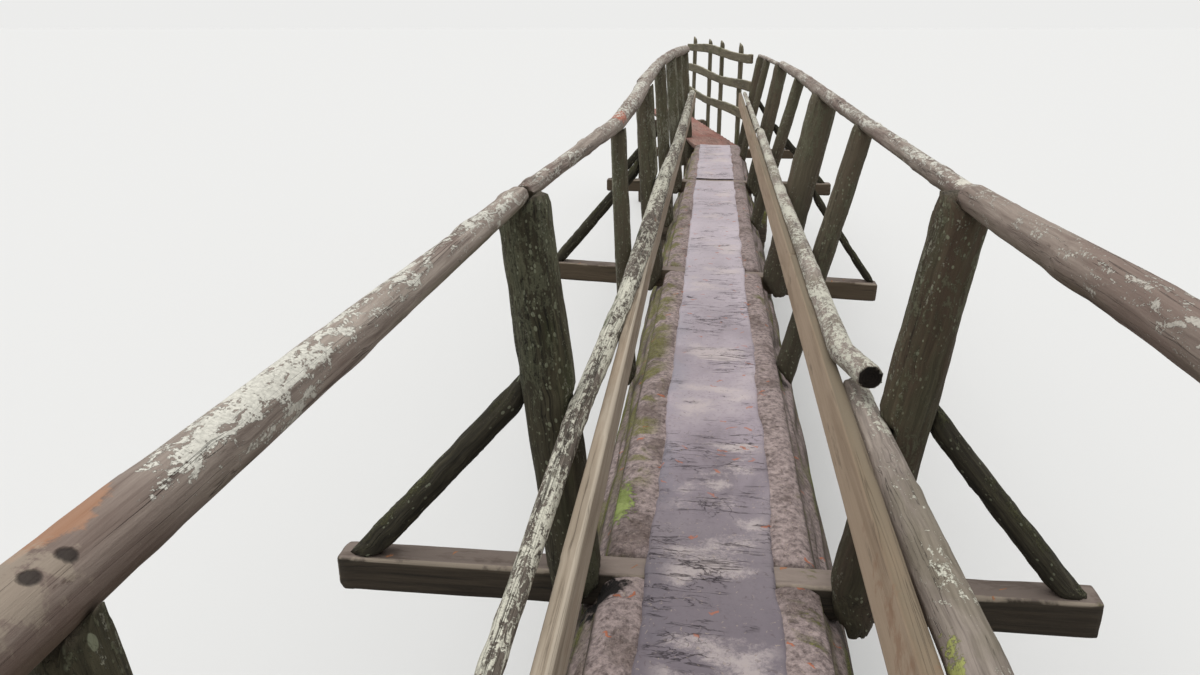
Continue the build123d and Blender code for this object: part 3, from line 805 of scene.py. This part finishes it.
def hewn(grain, normals, points, seed):
    """Carving for the great log: adze facets on top, furrows and hollows down its sides."""
    top = rising(normals[:, 2], 0.6, 0.3)
    furrow = (1 - ridged(grain / np.array([0.09, 0.09, 0.9]), 4, 3)) ** 3
    hollow = layered(points / np.array([0.5, 0.9, 0.5]), 3, 8)
    side = 0.022 * furrow + 0.03 * hollow
    edge = rising(np.abs(points[:, 0]), 0.21, 0.12)
    crumble = layered(points / np.array([0.05, 0.07, 0.05]), 4, 21)
    flat = 0.003 + 0.006 * crumble * (0.4 + edge) + 0.016 * edge**2 * layered(points / 0.35, 2, 5)
    return side * (1 - top) + flat * top


# Timbers, each with the size of its mesh cells in metres
log_cell = 0.022
timber_cell = 0.011
brace_cell = 0.010
slim_post_cell = 0.0095
left_pole_cell = 0.009
right_pole_cell = 0.010
landing_cell = 0.020
slab_cell = 0.014
fence_post_cell = 0.018
crib_cell = 0.026
pile_cell = 0.022

weathered("great_log_body", ["great_log"], log_cell, hewn, log_wood, axis=(0, 1, 0), stretch=1.6)
for i in range(1, 6):
    weathered(f"beam_{i}", [f"cross_beam_{i}"], timber_cell, sawn(depth=0.0016), beam_wood,
              axis=(1, 0, 0))
    for side in ("left", "right"):
        weathered(f"{side}_post_{i}", [f"post_{side}_{i}"], timber_cell, bark(depth=0.006, across=0.035, along=0.22),
                  post_wood, end_reach=0.016)
    weathered(f"braces_{i}", [f"knee_braces_{i}"], brace_cell, bark(depth=0.006, across=0.03, along=0.12),
              brace_wood, end_reach=0.014)
for i in range(1, 5):
    weathered(f"slim_post_pair_{i}", [f"slim_posts_{i}"], slim_post_cell,
              bark(depth=0.004, across=0.03, along=0.2, lump=0.002), post_wood, end_reach=0.012)
for side in ("left", "right"):
    for span in ("near", "middle", "far"):
        weathered(f"{side}_handrail_{span}", [f"handrail_{side}_{span}"], timber_cell,
                  peeled(lump=0.004, knot=0.004), handrail_wood)
weathered("left_pole", ["pole_rail_left"], left_pole_cell, peeled(lump=0.003, knot=0.003),
          left_pole_wood, axis=(0, 1, 0))
weathered("right_pole", ["pole_rail_right"], right_pole_cell, peeled(lump=0.003, knot=0.003),
          right_pole_wood, axis=(0, 1, 0))
for side in ("left", "right"):
    weathered(f"{side}_planks", [f"plank_rail_{side}"], timber_cell, sawn(depth=0.0005), plank_wood,
              axis=(0, 1, 0))
weathered("landing", ["landing_slab"], landing_cell, sawn(depth=0.004), landing_wood)
weathered("fence_slabs", ["fence_rails"], slab_cell, sawn(depth=0.002), fence_wood)
weathered("fence_uprights", ["fence_posts"], fence_post_cell, bark(depth=0.006, across=0.04, along=0.5),
          fence_wood, axis=(0, 0, 1))
for end in ("near", "far"):
    timbers = [f"crib_{end}_ground_logs", f"crib_{end}_sleepers", f"crib_{end}_saddle"]
    weathered(f"crib_{end}", timbers, crib_cell, bark(depth=0.010, across=0.06, along=0.5), crib_wood)
weathered("piles", ["sleeper_piles"], pile_cell, bark(depth=0.008, across=0.05, along=0.4), crib_wood,
          axis=(0, 0, 1))
weathered("trestle", ["landing_trestle"], pile_cell, bark(depth=0.008, across=0.05, along=0.4),
          crib_wood, stretch=1.0)


# Felt along the walk; lengths are in metres
felt_columns = 56
felt_rows = 800
felt_near_share = 0.78  # of the rows, in the length before the bare fourth beam
bare_before_beam = 0.06
bare_after_beam = 0.07
felt_lift = 0.006
left_waver = 0.024
right_waver = 0.030
wrinkle_height = 0.005
swell_height = 0.012
crack_depth = 0.004
beam_swell_height = 0.012
beam_swell_reach = 0.07
edge_drop = 0.012


def felt_sheet():
    """The felt as two lengths with wavering edges, wrinkled, and raised where it passes over a beam."""
    low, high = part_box("tread_mat")
    columns = felt_columns
    lengths = ((low[1], beam_y[3] - bare_before_beam, felt_near_share),
               (beam_y[3] + bare_after_beam, high[1], 1 - felt_near_share))
    pieces = []
    faces = []
    for start, end, share in lengths:
        count = round(felt_rows * share)
        u, v = np.meshgrid(np.linspace(0, 1, columns), np.linspace(0, 1, count))
        y = start + (end - start) * v
        line = np.zeros(y.size)
        left_wave = layered(np.stack([line + 3, y.ravel() / 0.22, line], 1), 4, 5).reshape(y.shape)
        right_wave = layered(np.stack([line + 9, y.ravel() / 0.25, line], 1), 4, 6).reshape(y.shape)
        left = low[0] + left_waver * (left_wave - 0.2)
        right = high[0] - right_waver * (right_wave - 0.1)
        x = left + (right - left) * u
        flat = np.stack([x.ravel(), y.ravel(), line], axis=1)
        wrinkle = layered(flat / np.array([0.30, 0.07, 1.0]), 4, 41)
        swell = layered(flat / np.array([0.25, 0.22, 1.0]), 3, 42)
        crack = ridged(flat / np.array([0.30, 0.12, 1.0]), 4, 43)
        crack = np.clip(1 - crack * 14, 0, 1) * np.clip((layered(flat / 0.3, 2, 44) - 0.5) * 8, 0, 1)
        z = deck + felt_lift + wrinkle_height * (wrinkle - 0.4) + swell_height * (swell - 0.45) - crack_depth * crack
        for place in beam_y[:3]:
            z = z + beam_swell_height * np.exp(-((flat[:, 1] - place) / beam_swell_reach) ** 4)
        edge = (np.minimum(u, 1 - u) * (columns - 1)).ravel()
        z = z - edge_drop * np.clip(1 - edge / 1.2, 0, 1)
        first = sum(len(part) for part in pieces)
        pieces.append(np.stack([x.ravel(), y.ravel(), z], axis=1))
        faces += grid_faces(first, count, columns)
    points = keep_inside(np.concatenate(pieces))
    thing = new_object("felt", points, faces)
    add_attribute(thing, "grain", "FLOAT_VECTOR", points)
    thing.data.materials.append(tread_felt)
    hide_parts("tread_mat")
    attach(thing, "root")


felt_sheet()


# Earth and litter on the log beside the felt; lengths are in metres
margin_columns = 16
margin_row_length = 0.014
half_beam = 0.052
past_flat = 0.040
earth_lift = 0.004
flank_slope = 0.69
lump_height = 0.010
bit_height = 0.008
hollow_depth = 0.05
hollow_before_beam = 0.11
under_felt_drop = 0.014
rim_drop = 0.030


def margin_sheets():
    """A lumpy sheet on each side of the felt, from beam to beam, with its rim sunk into the log."""
    log_points = loose_solids("great_log")[0][0]
    top = log_points[log_points[:, 2] > deck - 1e-3]
    places = np.unique(np.round(top[:, 1], 3))
    edges = {-1: [top[np.abs(top[:, 1] - y) < 2e-3, 0].min() for y in places],
             1: [top[np.abs(top[:, 1] - y) < 2e-3, 0].max() for y in places]}
    felt_low, felt_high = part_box("tread_mat")
    inner = {-1: felt_low[0] + 0.035, 1: felt_high[0] - 0.05}
    stops = [places[0] + 0.01, *beam_y[:4], places[-1] - 0.01]
    columns = margin_columns
    pieces = []
    faces = []
    first = 0
    for side in (-1, 1):
        for bay in range(5):
            start = stops[bay] + (half_beam if bay else 0)
            stop = stops[bay + 1] - (half_beam if bay < 4 else 0)
            rows = int((stop - start) / margin_row_length)
            u, v = np.meshgrid(np.linspace(0, 1, columns), np.linspace(0, 1, rows))
            y = start + (stop - start) * v
            flat_edge = np.interp(y, places, edges[side])
            outer = flat_edge + side * past_flat
            x = outer + (inner[side] - outer) * u
            beyond = np.clip(side * (x - flat_edge), 0, 1)
            spots = np.stack([x.ravel(), y.ravel(), np.zeros(x.size)], axis=1)
            lumps = layered(spots / 0.16, 3, 61).reshape(x.shape)
            bits = layered(spots / 0.022, 3, 62).reshape(x.shape)
            z = deck + earth_lift - flank_slope * beyond + lump_height * (lumps - 0.5) + bit_height * (bits - 0.4)
            hollow_y = beam_y[1] - hollow_before_beam
            z = z - hollow_depth * np.exp(-((x - hollow_mouth[0]) / 0.07) ** 2 - ((y - hollow_y) / 0.05) ** 2)
            z = z - under_felt_drop * rising(u, 0.7, 0.2)
            rim = np.minimum(np.minimum(v, 1 - v) * (rows - 1), u * (columns - 1))
            z = z - rim_drop * np.clip(1 - rim, 0, 1)
            pieces.append(np.stack([x.ravel(), y.ravel(), z.ravel()], axis=1))
            faces += grid_faces(first, rows, columns, turned=side > 0)
            first += x.size
    points = np.concatenate(pieces)
    thing = new_object("walk_margins", points, faces)
    add_attribute(thing, "grain", "FLOAT_VECTOR", points)
    thing.data.materials.append(log_wood)
    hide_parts("great_log")
    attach(thing, "root")


margin_sheets()


# Floor, light and camera
floor_half_size = 300.0
floor_seen = (0.66, 0.66, 0.65, 1)
floor_lit = (0.22, 0.21, 0.20, 1)
backdrop_grey = (0.84, 0.84, 0.83, 1)
glow_below = 0.20
glow_level = 0.50
glow_above = 1.0
sun_strength = 1.5
sun_spread = 1.1
sun_direction = (0.25, 0.15, -1.0)


def by_eye_or_light(tree, lit, seen):
    """Two shaders mixed: one for what the camera and reflections see, one for the light on the bridge."""
    path = node(tree, "ShaderNodeLightPath")
    by_eye = arithmetic(tree, "MAXIMUM", path.outputs["Is Camera Ray"], path.outputs["Is Glossy Ray"])
    return node(tree, "ShaderNodeMixShader", {0: by_eye, 1: lit.outputs[0], 2: seen.outputs[0]}).outputs[0]


def make_stage():
    size = floor_half_size
    floor = new_object("floor", [(-size, -size, 0), (size, -size, 0), (size, size, 0), (-size, size, 0)],
                       [(0, 1, 2, 3)], smooth=False)
    material = bpy.data.materials.new("floor_paint")
    material.use_nodes = True
    tree = material.node_tree
    tree.nodes.clear()
    pale = node(tree, "ShaderNodeBsdfDiffuse", {"Color": floor_seen})
    dull = node(tree, "ShaderNodeBsdfDiffuse", {"Color": floor_lit})
    node(tree, "ShaderNodeOutputMaterial", {0: by_eye_or_light(tree, dull, pale)})
    floor.data.materials.append(material)


def make_world():
    """A cloudy sky that is brighter overhead, behind an even pale backdrop."""
    world = bpy.data.worlds.new("sky")
    bpy.context.scene.world = world
    world.use_nodes = True
    tree = world.node_tree
    tree.nodes.clear()
    direction = node(tree, "ShaderNodeTexCoord").outputs["Generated"]
    height = node(tree, "ShaderNodeSeparateXYZ", {0: direction}).outputs["Z"]
    glow = ramp(tree, between(tree, height, -0.3, 1.0), (0.0, glow_below), (0.35, glow_level), (1.0, glow_above))
    light = node(tree, "ShaderNodeBackground", {"Color": glow, "Strength": 1.0})
    backdrop = node(tree, "ShaderNodeBackground", {"Color": backdrop_grey, "Strength": 1.0})
    node(tree, "ShaderNodeOutputWorld", {0: by_eye_or_light(tree, light, backdrop)})


def make_sun():
    """A wide soft light from above, a little from the left and from behind the viewer."""
    data = bpy.data.lights.new("cloud_light", "SUN")
    data.energy = sun_strength
    data.angle = sun_spread
    lamp = bpy.data.objects.new("cloud_light", data)
    lamp.rotation_euler = Vector(sun_direction).to_track_quat("-Z", "Y").to_euler()
    bpy.context.scene.collection.objects.link(lamp)


def make_camera():
    """The picture's camera: level across the walk, and tipped so that +Y vanishes at the measured pixel."""
    along_walk = Vector((vanish_x - centre_x, vanish_y - centre_y, focal_pixels)).normalized()
    up = Vector((0, -1, 0))
    up = (up + Vector((0, 0, -up.dot(along_walk) / along_walk.z))).normalized()
    right = up.cross(along_walk) * -1
    rows = [Vector((right[k], along_walk[k], up[k])) for k in range(3)]
    data = bpy.data.cameras.new("camera")
    data.sensor_width = 36.0
    data.lens = focal_pixels / image_width * data.sensor_width
    data.clip_end = 200
    camera = bpy.data.objects.new("camera", data)
    basis = Matrix((rows[0], -rows[1], -rows[2])).transposed()
    place = Vector((eye_side, beam_y[1] - eye_before_beam, deck + eye_height))
    camera.matrix_world = Matrix.Translation(place) @ basis.to_4x4()
    bpy.context.scene.collection.objects.link(camera)
    bpy.context.scene.camera = camera


make_stage()
make_world()
make_sun()
make_camera()

bpy.context.scene.view_settings.view_transform = "Standard"
